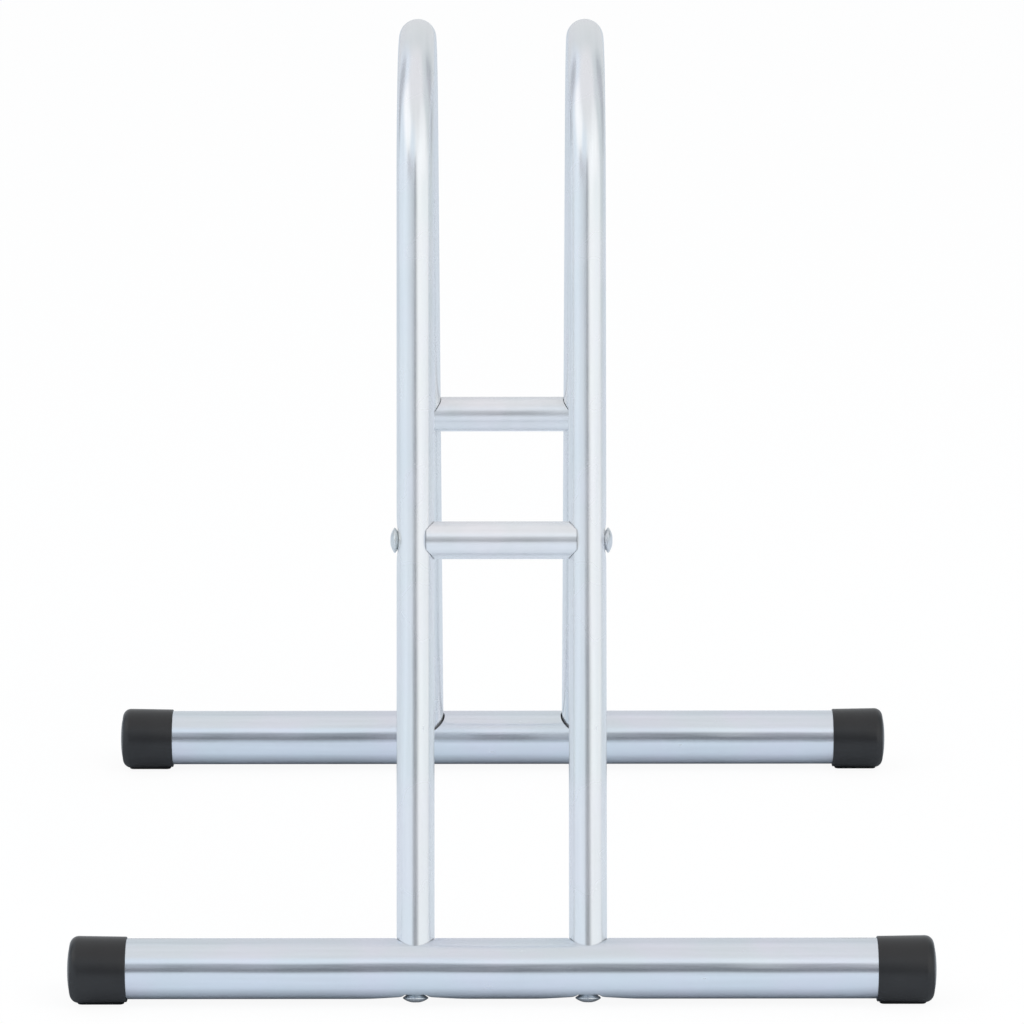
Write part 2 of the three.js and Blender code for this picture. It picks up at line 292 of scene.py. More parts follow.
class Workpiece:
    """A mesh under hand modelling, which starts as one ring and grows ring by ring."""

    def __init__(self, name: str, sides: int, radius: float, height: float = 0) -> None:
        """Start with a ring round the Z axis.

        Args:
            name: Name of the piece.
            sides: Points of the ring.
            radius: Radius of the ring.
            height: Height of the ring.
        """
        clear_selection()
        bpy.ops.mesh.primitive_circle_add(vertices=sides, radius=radius, location=(0, 0, height))
        self.piece = bpy.context.active_object
        self.piece.name = name
        self.piece.data.name = name
        self.radius = radius
        self.height = height
        self.shift = 0.0
        self.apply_place()

    # -- growing --

    def edit(self) -> None:
        """Enter edit mode."""
        bpy.context.view_layer.objects.active = self.piece
        bpy.ops.object.mode_set(mode="EDIT")

    def leave(self) -> None:
        """Return to object mode, with this piece alone selected."""
        if self.piece.mode == "EDIT":
            bpy.ops.object.mode_set(mode="OBJECT")
        clear_selection()
        self.piece.select_set(True)
        bpy.context.view_layer.objects.active = self.piece

    def ring(self, radius: float, height: float, shift: float = 0) -> None:
        """Extrude the last ring to a new radius and height.

        Args:
            radius: New radius.
            height: New height.
            shift: Sideways move along +X of this ring and the next ones.
        """
        self.shift += shift
        rise = (shift, 0, height - self.height)
        bpy.ops.mesh.extrude_region_move(TRANSFORM_OT_translate={"value": rise})
        ratio = radius / self.radius
        bpy.ops.transform.resize(value=(ratio, ratio, 1), center_override=(self.shift, 0, height))
        self.radius = radius
        self.height = height

    def rings(self, profile: Iterable[tuple[float, float]]) -> None:
        """Extrude through a list of radius and height pairs."""
        for radius, height in profile:
            self.ring(radius, height)

    def pole(self, height: float) -> None:
        """Close the last ring to a point on its axis.

        Args:
            height: Height of the point.
        """
        rise = (0, 0, height - self.height)
        bpy.ops.mesh.extrude_region_move(TRANSFORM_OT_translate={"value": rise})
        bpy.ops.mesh.merge(type="CENTER")

    def advance(self, step: Vector) -> None:
        """Extrude the last ring straight on."""
        bpy.ops.mesh.extrude_region_move(TRANSFORM_OT_translate={"value": tuple(step)})

    def select_open_edges(self) -> None:
        """Select the edges of every open ring."""
        bpy.ops.mesh.select_mode(type="EDGE")
        bpy.ops.mesh.select_all(action="DESELECT")
        bpy.ops.mesh.select_non_manifold(
            use_wire=False, use_multi_face=False, use_non_contiguous=False, use_verts=False
        )

    def fill_open_rings(self) -> None:
        """Close each open ring with a flat face."""
        self.select_open_edges()
        bpy.ops.mesh.edge_face_add()

    def bridge_open_rings(self) -> None:
        """Join the two open rings with faces."""
        self.select_open_edges()
        bpy.ops.mesh.bridge_edge_loops()

    # -- placing and finishing --

    def apply_place(self) -> None:
        """Put the object's place into its mesh."""
        bpy.ops.object.transform_apply(location=True, rotation=True, scale=True)

    def settle(self, place: Matrix) -> None:
        """Set the piece in its place, with its object left at the origin.

        Args:
            place: Placement of the piece, which was modelled upright.
        """
        self.leave()
        self.piece.matrix_world = place
        self.apply_place()

    def face_outwards(self) -> None:
        """Merge doubles and turn every face outwards."""
        self.edit()
        bpy.ops.mesh.select_all(action="SELECT")
        bpy.ops.mesh.remove_doubles(threshold=TINY / 10)
        bpy.ops.mesh.normals_make_consistent(inside=False)
        self.leave()

    def apply_modifier(self, kind: str, **settings: object) -> None:
        """Add a modifier, set it and apply it.

        Args:
            kind: The modifier's type.
            settings: Its properties.
        """
        self.leave()
        bpy.ops.object.modifier_add(type=kind)
        modifier = self.piece.modifiers[-1]
        for name, value in settings.items():
            setattr(modifier, name, value)
        bpy.ops.object.modifier_apply(modifier=modifier.name)

    def thicken(self, wall: float) -> None:
        """Give an open shell a wall, inwards from its surface."""
        self.apply_modifier("SOLIDIFY", thickness=wall, offset=-1, use_even_offset=True)

    def combine(self, tools: Sequence[bpy.types.Object], operation: str = "DIFFERENCE") -> None:
        """Cut the tools' shapes out of the piece, or join them on, and remove the tools.

        Args:
            tools: The other solids, clear of each other.
            operation: DIFFERENCE or UNION.
        """
        clear_selection()
        for tool in tools:
            tool.select_set(True)
        bpy.context.view_layer.objects.active = tools[0]
        if len(tools) > 1:
            bpy.ops.object.join()
        self.apply_modifier("BOOLEAN", object=tools[0], operation=operation, solver="EXACT")
        bpy.data.objects.remove(tools[0])

    def press(self, die: "Die", origin: Vector, outward: Vector, tube_axis: Vector, reach: float) -> None:
        """Press a seat into the surface.

        Args:
            die: The press tool.
            origin: Middle of the seat.
            outward: Direction out of the seat.
            tube_axis: Direction along the tube.
            reach: How far below the seat the surface still counts, which keeps the far wall out.
        """
        for vertex in self.piece.data.vertices:
            offset = vertex.co - origin
            height = offset.dot(outward)
            if height > -reach:
                along = offset.dot(tube_axis)
                across = (offset - height * outward - along * tube_axis).length
                radius = math.hypot(along, die.across_share * across)
                pressed = soft_min(height, die.face_height(radius), die.softness)
                vertex.co += (pressed - height) * outward

    def smooth(self) -> None:
        """Shade smooth, with the sharp edges kept."""
        self.leave()
        bpy.ops.object.shade_smooth_by_angle(angle=SHARP_ANGLE)

    def store_drawn(self, coordinates: Callable[[Vector], Vector]) -> None:
        """Store each point's place in the piece's own coordinates and mark the inner walls.

        Args:
            coordinates: Gives them for a point of the finished mesh.
        """
        data = self.piece.data
        places = [coordinates(vertex.co) for vertex in data.vertices]
        inner_drop = 0.7 * TINY  # a step out of an inner wall comes at least this much nearer to the axis
        inner = []
        for vertex, place in zip(data.vertices, places):
            moved = coordinates(vertex.co + vertex.normal * TINY)
            inner.append(1.0 if moved.xy.length < place.xy.length - inner_drop else 0.0)
        drawn_attribute = data.attributes.new(DRAWN, "FLOAT_VECTOR", "POINT")
        drawn_attribute.data.foreach_set("vector", [part for place in places for part in place])
        inner_attribute = data.attributes.new(INNER, "FLOAT", "POINT")
        inner_attribute.data.foreach_set("value", inner)

    def store_upright(self, place: Matrix) -> None:
        """Store each point's place before the piece was set in its place."""
        self.store_drawn(lambda point: place.inverted() @ point)

    def hand_in(self, node: str, finish: "Finish") -> bpy.types.Object:
        """Dress the finished piece and let it stand for its node.

        Args:
            node: The node that it replaces.
            finish: Its finish.

        Returns:
            The piece.
        """
        self.leave()
        self.piece.data.materials.clear()
        self.piece.data.materials.append(finish.material())
        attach(self.piece, BODY)
        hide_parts(node)
        log.info("%s: %d faces", self.piece.name, len(self.piece.data.polygons))
        return self.piece


def bar(radius: float, length: float, sides: int, place: Matrix) -> bpy.types.Object:
    """A straight bar for cutting, upwards from its place.

    Args:
        radius: Radius over its corners.
        length: Length.
        sides: Sides of its section.
        place: Placement of its foot.

    Returns:
        The bar.
    """
    clear_selection()
    middle = place @ Matrix.Translation(UP * (length / 2))
    bpy.ops.mesh.primitive_cylinder_add(vertices=sides, radius=radius, depth=length)
    tool = bpy.context.active_object
    tool.matrix_world = middle
    return tool


@dataclass(frozen=True)
class Die:
    """Press tool. Its face is flat in the middle, flares up round it and then rises evenly.

    An offset across the tube counts only by a share, so a share under 1 makes the tool oval.
    """

    across_share: float
    flat_radius: float
    flare: float
    spread: float
    rise: float
    softness: float

    def face_height(self, radius: float) -> float:
        """Height of the tool's face over its flat middle at a radius."""
        beyond = max(radius - self.flat_radius, 0)
        return self.flare * (1 - math.exp(-beyond / self.spread)) + self.rise * beyond


# ---- Finishes ----


class NodeGraph:
    """A node tree under construction."""

    def __init__(self, tree: bpy.types.NodeTree) -> None:
        """Take a tree and empty it."""
        self.tree = tree
        tree.nodes.clear()

    def add(self, kind: str, inputs: dict | None = None, **settings: object) -> bpy.types.Node:
        """Add a node.

        Args:
            kind: The node's type.
            inputs: Values for its sockets, or sockets to link to them.
            settings: Its properties.

        Returns:
            The node.
        """
        node = self.tree.nodes.new(kind)
        for name, value in settings.items():
            setattr(node, name, value)
        for key, value in (inputs or {}).items():
            if isinstance(value, Socket):
                self.tree.links.new(value, node.inputs[key])
            else:
                node.inputs[key].default_value = value
        return node

    def maths(self, operation: str, *values: object) -> Socket:
        """Result of a Math node."""
        node = self.add("ShaderNodeMath", dict(enumerate(values)), operation=operation)
        return node.outputs[0]

    def blend(self, share: object, first: object, second: object, mode: str = "MIX") -> Socket:
        """Mix of two colours.

        Args:
            share: Share of the second colour.
            first: First colour.
            second: Second colour.
            mode: How they mix.

        Returns:
            The mixed colour.
        """
        inputs = {0: share, 6: first, 7: second}
        node = self.add("ShaderNodeMix", inputs, data_type="RGBA", blend_type=mode)
        return node.outputs[2]

    def remap(self, value: object, source: tuple[float, float], target: tuple[float, float],
              shape: str = "LINEAR") -> Socket:
        """Value moved from one range to another, and kept inside it.

        Args:
            value: The value.
            source: Range that it comes from.
            target: Range that it goes to.
            shape: How it goes from one end to the other.

        Returns:
            The moved value.
        """
        inputs = {0: value, 1: source[0], 2: source[1], 3: target[0], 4: target[1]}
        node = self.add("ShaderNodeMapRange", inputs, interpolation_type=shape)
        return node.outputs[0]

    def noise(self, place: object, scale: float, detail: float = 2) -> Socket:
        """Value of a noise pattern."""
        inputs = {"Vector": place, "Scale": scale, "Detail": detail}
        return self.add("ShaderNodeTexNoise", inputs).outputs[0]

    def stretch(self, place: object, scale: tuple[float, float, float]) -> Socket:
        """Coordinates scaled along each axis."""
        return self.add("ShaderNodeMapping", {"Vector": place, "Scale": scale}).outputs[0]

    def grey(self, level: Socket) -> Socket:
        """Grey colour of a level."""
        return self.add("ShaderNodeCombineColor", {0: level, 1: level, 2: level}).outputs[0]


class PatternGroup:
    """A shader node group that several finishes share, built once."""

    def __init__(self, name: str, outputs: Sequence[str],
                 build: Callable[[NodeGraph, Socket], Sequence[Socket]]) -> None:
        """Describe the group.

        Args:
            name: Name of the group.
            outputs: Names of its output values.
            build: Makes the pattern from its coordinates and gives a socket for each output.
        """
        self.name = name
        self.outputs = outputs
        self.build = build

    def tree(self) -> bpy.types.NodeTree:
        """The group's node tree, made on first use.

        Returns:
            The tree.
        """
        found = bpy.data.node_groups.get(self.name)
        if found is not None:
            return found
        tree = bpy.data.node_groups.new(self.name, "ShaderNodeTree")
        tree.interface.new_socket("Place", in_out="INPUT", socket_type="NodeSocketVector")
        for name in self.outputs:
            tree.interface.new_socket(name, in_out="OUTPUT", socket_type="NodeSocketFloat")
        graph = NodeGraph(tree)
        place = graph.add("NodeGroupInput").outputs["Place"]
        sockets = self.build(graph, place)
        graph.add("NodeGroupOutput", dict(zip(self.outputs, sockets)))
        return tree

    def use(self, graph: NodeGraph, place: Socket) -> bpy.types.Node:
        """Place the group in a material."""
        return graph.add("ShaderNodeGroup", {"Place": place}, node_tree=self.tree())


def build_draw_lines(graph: NodeGraph, place: Socket) -> Sequence[Socket]:
    """Lines along Z, as left by drawing a tube through its die.

    Args:
        graph: The group's nodes.
        place: The piece's own coordinates.

    Returns:
        Height of the fine lines and of the broader streaks.
    """
    fine_scale, fine_stretch = 2600, (1, 1, 0.012)
    broad_scale, broad_stretch = 420, (1, 1, 0.03)
    fine = graph.noise(graph.stretch(place, fine_stretch), fine_scale, detail=3)
    broad = graph.noise(graph.stretch(place, broad_stretch), broad_scale)
    return fine, broad


def build_cloud(graph: NodeGraph, place: Socket) -> Sequence[Socket]:
    """Soft patches, in two independent patterns.

    Args:
        graph: The group's nodes.
        place: The piece's own coordinates.

    Returns:
        The two patterns, from 0 to 1.
    """
    first_scale, first_stretch = 45, (1, 1, 0.5)
    second_scale, second_place = 28, (3.1, 1.7, 0.9)
    soft_edge = (0.32, 0.68)
    first = graph.noise(graph.stretch(place, first_stretch), first_scale, detail=3)
    shifted = graph.add("ShaderNodeVectorMath", {0: place, 1: second_place}, operation="ADD")
    second = graph.noise(shifted.outputs[0], second_scale)
    return tuple(graph.remap(pattern, soft_edge, (0, 1), "SMOOTHSTEP") for pattern in (first, second))


def build_specks(graph: NodeGraph, place: Socket) -> Sequence[Socket]:
    """Sparse specks of uneven size.

    Args:
        graph: The group's nodes.
        place: The piece's own coordinates.

    Returns:
        A mask, 1 on a speck and 0 between them.
    """
    cell_scale, cell_stretch = 230, (1, 1, 0.35)
    speckled_cells = (0.9, 1)
    largest_speck, speck_edge = 0.12, 0.03
    warp = graph.add("ShaderNodeVectorMath", {0: place, 1: cell_stretch}, operation="MULTIPLY")
    cells = graph.add("ShaderNodeTexVoronoi", {"Vector": warp.outputs[0], "Scale": cell_scale})
    chance = graph.add("ShaderNodeSeparateColor", {0: cells.outputs["Color"]}).outputs[0]
    size = graph.remap(chance, speckled_cells, (0, largest_speck))
    inside = graph.maths("SUBTRACT", size, cells.outputs["Distance"])
    return (graph.remap(inside, (0, speck_edge), (0, 1)),)


def build_moulding(graph: NodeGraph, place: Socket) -> Sequence[Socket]:
    """Surface that a spark-eroded mould leaves on plastic.

    Args:
        graph: The group's nodes.
        place: The piece's own coordinates.

    Returns:
        Height of the fine grain, and slow patches of gloss.
    """
    grain_scale, patch_scale = 3200, 60
    return graph.noise(place, grain_scale), graph.noise(place, patch_scale)


DRAW_LINES = PatternGroup("draw lines", ("Fine", "Broad"), build_draw_lines)
CLOUD = PatternGroup("cloud", ("First", "Second"), build_cloud)
SPECKS = PatternGroup("specks", ("Mask",), build_specks)
MOULDING = PatternGroup("moulding", ("Grain", "Patches"), build_moulding)
NOISE_SPAN = (0.3, 0.7)  # values between which a noise pattern mostly stays


class Finish:
    """A finish that a piece takes. Its material is made on first use."""

    name: str
    slot: str

    def material(self) -> bpy.types.Material:
        """The finish's material, made on first use.

        Returns:
            The material.
        """
        found = bpy.data.materials.get(self.name)
        if found is not None:
            return found
        material = bpy.data.materials.new(self.name)
        material.use_nodes = True
        graph = NodeGraph(material.node_tree)
        shader = graph.add("ShaderNodeBsdfPrincipled")
        graph.add("ShaderNodeOutputMaterial", {"Surface": shader.outputs[0]})
        self.dress(graph, shader)
        return material

    def dress(self, graph: NodeGraph, shader: bpy.types.Node) -> None:
        """Feed the shader. Each finish has its own way."""
        raise NotImplementedError


def bumped(graph: NodeGraph, layers: Sequence[tuple[Socket, float]]) -> Socket:
    """Normal of a surface with layers of relief, each a height pattern and its depth.

    Args:
        graph: The material's nodes.
        layers: Height sockets with the depth of each, deepest first.

    Returns:
        The normal.
    """
    normal = None
    for height, depth in layers:
        inputs = {"Height": height, "Distance": depth}
        if normal is not None:
            inputs["Normal"] = normal
        normal = graph.add("ShaderNodeBump", inputs).outputs[0]
    return normal


@dataclass(frozen=True)
class ZincPlate(Finish):
    """Bright zinc plate on drawn tube or turned steel."""

    name: str
    slot: str
    colour: Colour
    lavender: Colour
    green: Colour
    metal: tuple[float, float]
    roughness: tuple[float, float]
    line_depth: float
    wave_depth: float
    wave_scale: float = 26
    wave_stretch: tuple[float, float, float] = (1, 1, 0.7)
    broad_depth_share: float = 1.5
    green_share: float = 0.5
    streak: tuple[float, float] = (0.97, 1.015)
    speck_colour: Colour = (0.9, 0.92, 0.94, 1)
    speck_dulling: float = 0.35
    # painted shade: near black on the inner walls, in place of the shade inside a tube
    painted_inside_shade: Colour = (0.06, 0.06, 0.065, 1)
    inside_dulling: float = 0.3

    def dress(self, graph: NodeGraph, shader: bpy.types.Node) -> None:
        """Feed the shader with patchy tints, draw lines, specks, slight waves and painted shade on the
        inner walls.

        Args:
            graph: The material's nodes.
            shader: Its shader.
        """
        link = graph.tree.links.new
        place = graph.add("ShaderNodeAttribute", attribute_name=DRAWN).outputs["Vector"]
        inner = graph.add("ShaderNodeAttribute", attribute_name=INNER).outputs["Fac"]
        lines = DRAW_LINES.use(graph, place).outputs
        cloud = CLOUD.use(graph, place).outputs
        dulled = graph.maths("MULTIPLY", SPECKS.use(graph, place).outputs["Mask"], self.speck_dulling)

        tint = graph.blend(cloud["First"], self.colour, self.lavender)
        tint = graph.blend(graph.maths("MULTIPLY", cloud["Second"], self.green_share), tint, self.green)
        streak = graph.grey(graph.remap(lines["Broad"], NOISE_SPAN, self.streak))
        tint = graph.blend(1, tint, streak, "MULTIPLY")
        tint = graph.blend(dulled, tint, self.speck_colour)
        # Inner walls take the painted shade colour instead of the plate's tint.
        link(graph.blend(inner, tint, self.painted_inside_shade), shader.inputs["Base Color"])
        link(graph.remap(cloud["Second"], (0, 1), self.metal), shader.inputs["Metallic"])

        rough = graph.maths("ADD", graph.remap(lines["Fine"], NOISE_SPAN, self.roughness), dulled)
        inside_rough = graph.maths("MULTIPLY", inner, self.inside_dulling)
        link(graph.maths("ADD", rough, inside_rough), shader.inputs["Roughness"])

        wave = graph.noise(graph.stretch(place, self.wave_stretch), self.wave_scale, detail=0)
        layers = [
            (wave, self.wave_depth),
            (lines["Broad"], self.broad_depth_share * self.line_depth),
            (lines["Fine"], self.line_depth),
        ]
        link(bumped(graph, layers), shader.inputs["Normal"])


@dataclass(frozen=True)
class MouldedPlastic(Finish):
    """Satin black plastic with a fine moulded grain."""

    name: str
    slot: str
    dark: Colour
    pale: Colour
    roughness: tuple[float, float]
    grain_depth: float
    patch_depth: float
    specular: float = 0.5

    def dress(self, graph: NodeGraph, shader: bpy.types.Node) -> None:
        """Feed the shader with moulded grain and slow patches of gloss.

        Args:
            graph: The material's nodes.
            shader: Its shader.
        """
        link = graph.tree.links.new
        place = graph.add("ShaderNodeTexCoord").outputs["Object"]
        moulding = MOULDING.use(graph, place).outputs
        cloud = CLOUD.use(graph, place).outputs
        link(graph.blend(cloud["First"], self.dark, self.pale), shader.inputs["Base Color"])
        link(graph.remap(moulding["Patches"], NOISE_SPAN, self.roughness), shader.inputs["Roughness"])
        layers = [(moulding["Patches"], self.patch_depth), (moulding["Grain"], self.grain_depth)]
        link(bumped(graph, layers), shader.inputs["Normal"])
        shader.inputs["Specular IOR Level"].default_value = self.specular


@dataclass(frozen=True)
class TurnedSteel(Finish):
    """Bare turned steel, as on the hidden plugs."""

    name: str
    slot: str
    colour: Colour
    dark: Colour
    roughness: tuple[float, float]
    groove_depth: float
    groove_scale: float = 4000
    groove_stretch: tuple[float, float, float] = (0.02, 0.02, 1)

    def dress(self, graph: NodeGraph, shader: bpy.types.Node) -> None:
        """Feed the shader with fine turning grooves, rings along the piece's own Z.

        Args:
            graph: The material's nodes.
            shader: Its shader.
        """
        link = graph.tree.links.new
        place = graph.add("ShaderNodeAttribute", attribute_name=DRAWN).outputs["Vector"]
        grooves = graph.noise(graph.stretch(place, self.groove_stretch), self.groove_scale)
        cloud = CLOUD.use(graph, place).outputs
        link(graph.blend(cloud["First"], self.colour, self.dark), shader.inputs["Base Color"])
        link(graph.remap(grooves, NOISE_SPAN, self.roughness), shader.inputs["Roughness"])
        link(bumped(graph, [(grooves, self.groove_depth)]), shader.inputs["Normal"])
        shader.inputs["Metallic"].default_value = 1


HOOP_ZINC = ZincPlate(
    name="bright zinc on hoops", slot="zinc_tube",
    colour=(0.84, 0.85, 0.86, 1), lavender=(0.84, 0.84, 0.87, 1), green=(0.82, 0.86, 0.86, 1),
    metal=(0.70, 0.82), roughness=(0.19, 0.26), line_depth=0.0006 * MM, wave_depth=0.25 * MM,
)
BASE_ZINC = ZincPlate(
    name="bright zinc on base tubes", slot="zinc_tube",
    colour=(0.77, 0.82, 0.88, 1), lavender=(0.80, 0.81, 0.89, 1), green=(0.76, 0.83, 0.86, 1),
    metal=(0.90, 0.97), roughness=(0.17, 0.23), line_depth=0.0006 * MM, wave_depth=0.9 * MM,
)
RUNG_ZINC = ZincPlate(
    name="bright zinc on rungs", slot="zinc_tube",
    colour=(0.84, 0.85, 0.88, 1), lavender=(0.86, 0.84, 0.87, 1), green=(0.82, 0.86, 0.86, 1),
    metal=(0.62, 0.74), roughness=(0.22, 0.27), line_depth=0.0004 * MM, wave_depth=0.15 * MM,
)
BOLT_ZINC = ZincPlate(
    name="bright zinc on bolts", slot="zinc_bolt",
    colour=(0.74, 0.77, 0.77, 1), lavender=(0.76, 0.77, 0.80, 1), green=(0.70, 0.77, 0.74, 1),
    metal=(0.9, 1), roughness=(0.22, 0.30), line_depth=0.0008 * MM, wave_depth=0.02 * MM,
)
PLUG_STEEL = TurnedSteel(
    name="turned steel", slot="plug_steel",
    colour=(0.56, 0.57, 0.59, 1), dark=(0.448, 0.456, 0.472, 1),
    roughness=(0.35, 0.55), groove_depth=0.01 * MM,
)
CAP_PLASTIC = MouldedPlastic(
    name="satin black plastic", slot="cap_plastic",
    dark=(0.009, 0.009, 0.010, 1), pale=(0.013, 0.013, 0.014, 1),
    roughness=(0.30, 0.37), grain_depth=0.006 * MM, patch_depth=0.05 * MM,
)


# ---- Pieces ----

LEG_SEAT_DIE = Die(
    across_share=1, flat_radius=4.6 * MM, flare=0.85 * MM, spread=3.5 * MM, rise=0.05, softness=0.3 * MM,
)
BASE_SEAT_DIE = Die(
    across_share=0.6, flat_radius=7.4 * MM, flare=1.25 * MM, spread=0.5 * MM, rise=0.075, softness=0.4 * MM,
)


@dataclass
class Hoop:
    """An A-shaped hoop of bent round tube."""

    plan: RackPlan
    bolts: BoltSizes
    side: Side
    wall: float = 1.5 * MM
    sides: int = 72
    bend_steps: int = 72
    fine_step: float = 0.9 * MM
    coarse_step: float = 9 * MM
    seat_reach: float = 12 * MM

    def build(self) -> bpy.types.Object:
        """Bend the tube, press the bolt seats and drill them.

        Returns:
            The hoop.
        """
        plan = self.plan
        name = node_name("hoop", self.side)
        outward = Vector((self.side.value, 0, 0))
        bolt_points = {end: plan.on_leg(self.side, end, plan.rung_distance) for end in End}
        work = self.bend_tube(name)
        work.face_outwards()
        seat = outward * (plan.hoop_radius - self.bolts.rung_seat_depth)
        for end, point in bolt_points.items():
            work.press(LEG_SEAT_DIE, point + seat, outward, plan.up_leg(end), plan.hoop_radius)
        work.thicken(self.wall)
        holes = []
        for point in bolt_points.values():
            place = stand(point - outward * 2 * plan.hoop_radius, outward, UP)
            holes.append(bar(self.bolts.hole_radius, 4 * plan.hoop_radius, self.bolts.sides, place))
        work.combine(holes)
        work.smooth()
        work.store_drawn(self.unrolled)
        return work.hand_in(name, HOOP_ZINC)

    def bend_tube(self, name: str) -> Workpiece:
        """Draw the bent tube's outer surface, up the front leg and down the rear one.

        Args:
            name: Name of the piece.

        Returns:
            The open tube, in edit mode.
        """
        plan = self.plan
        up = plan.up_leg(End.FRONT)
        work = Workpiece(name, self.sides, plan.hoop_radius)
        work.settle(stand(plan.on_leg(self.side, End.FRONT, -plan.leg_overrun), up, RIGHTWARD))
        work.edit()
        places = ring_places(-plan.leg_overrun, plan.leg_length, [plan.rung_distance],
                             self.seat_reach, self.fine_step, self.coarse_step)
        steps = [after - before for before, after in zip(places, places[1:])]
        for step in steps:
            work.advance(up * step)
        centre = (self.side.value * plan.hoop_offset, 0, plan.bend_height)
        bpy.ops.mesh.spin(steps=self.bend_steps, angle=plan.bend_angle, center=centre, axis=(1, 0, 0))
        down = -plan.up_leg(End.REAR)
        for step in reversed(steps):
            work.advance(down * step)
        return work

    def unrolled(self, point: Vector) -> Vector:
        """Coordinates of a point on the hoop as if its tube were straight.

        Args:
            point: The point.

        Returns:
            Its place across the tube, twice, and along it.
        """
        plan = self.plan
        across = point.x - self.side.value * plan.hoop_offset
        end = End.REAR if point.y > 0 else End.FRONT
        arm = Vector((point.y, point.z - plan.bend_height))
        angle = math.atan2(arm.y, abs(arm.x))
        if angle > plan.lean:
            along = plan.leg_length + plan.bend_radius * (angle - plan.lean)
            outwards = arm.length - plan.bend_radius
        else:
            foot = plan.on_leg(self.side, end, 0)
            up = plan.up_leg(end)
            along = (point - foot).dot(up)
            outwards = (point - foot - along * up).dot(Vector((0, end.value, 0))) / math.cos(plan.lean)
        half = plan.leg_length + plan.bend_radius * plan.bend_angle / 2
        return Vector((across, outwards, end.value * (half - along)))


@dataclass
class BaseTube:
    """A base tube with leg holes in its top and bolt seats pressed into its underside."""

    plan: RackPlan
    bolts: BoltSizes
    end: End
    wall: float = 1.5 * MM
    leg_gap: float = 0.8 * MM
    leg_hole_shift: float = 0.7 * MM
    seat_clearance: float = 0.05 * MM
    sides: int = 160
    hole_sides: int = 128
    fine_step: float = 0.6 * MM
    coarse_step: float = 3.5 * MM
    detail_reach: float = 11 * MM

    def build(self) -> bpy.types.Object:
        """Draw the tube, press the seats and cut the holes.

        Returns:
            The base tube.
        """
        plan = self.plan
        name = node_name("base_tube", self.end)
        half = plan.base_length / 2
        work = Workpiece(name, self.sides, plan.base_radius, -half)
        work.edit()
        details = [side.value * plan.hoop_offset for side in Side]
        heights = ring_places(-half, half, details, self.detail_reach, self.fine_step, self.coarse_step)
        for height in heights[1:]:
            work.ring(plan.base_radius, height)
        middle = Vector((0, self.end.value * plan.half_spacing, plan.base_height))
        place = stand(middle, RIGHTWARD, DOWN)
        work.settle(place)
        work.face_outwards()
        up = plan.up_leg(self.end)
        seat_distance = base_seat_distance(plan, self.bolts) - self.seat_clearance
        for side in Side:
            seat = plan.on_leg(side, self.end, -seat_distance)
            work.press(BASE_SEAT_DIE, seat, -up, RIGHTWARD, plan.base_radius)
        work.thicken(self.wall)
        holes = []
        leg_radius = plan.hoop_radius + self.leg_gap
        shift = Vector((0, -self.end.value, 0)) * self.leg_hole_shift
        for side in Side:
            leg_place = stand(plan.on_leg(side, self.end, 0) + shift, up, RIGHTWARD)
            holes.append(bar(leg_radius, 2 * plan.base_radius, self.hole_sides, leg_place))
            bolt_place = stand(plan.on_leg(side, self.end, -1.5 * plan.base_radius), up, RIGHTWARD)
            holes.append(bar(self.bolts.hole_radius, plan.base_radius, self.bolts.sides, bolt_place))
        work.combine(holes)
        work.smooth()
        work.store_upright(place)
        return work.hand_in(name, BASE_ZINC)


@dataclass
class Rung:
    """A short tube between the hoops, with its ends cut to fit round the legs."""

    plan: RackPlan
    bolts: BoltSizes
    end: End
    wall: float = 1.5 * MM
    tip_setback: float = 5.8 * MM
    sides: int = 128

    def build(self) -> bpy.types.Object:
        """Draw the tube and cut both ends.

        Returns:
            The rung.
        """
        plan = self.plan
        name = node_name("rung", self.end)
        half = plan.hoop_offset - self.tip_setback
        work = Workpiece(name, self.sides, plan.rung_radius, -half)
        work.edit()
        work.ring(plan.rung_radius, half)
        middle = (plan.on_leg(Side.LEFT, self.end, plan.rung_distance)
                  + plan.on_leg(Side.RIGHT, self.end, plan.rung_distance)) / 2
        place = stand(middle, RIGHTWARD, DOWN)
        work.settle(place)
        work.face_outwards()
        work.thicken(self.wall)
        up = plan.up_leg(self.end)
        leg_radius = plan.hoop_radius + self.bolts.seat_gap
        legs = []
        for side in Side:
            foot = plan.on_leg(side, self.end, plan.rung_distance - 2 * plan.rung_radius)
            legs.append(bar(leg_radius, 4 * plan.rung_radius, self.sides, stand(foot, up, RIGHTWARD)))
        work.combine(legs)
        work.smooth()
        work.store_upright(place)
        return work.hand_in(name, RUNG_ZINC)


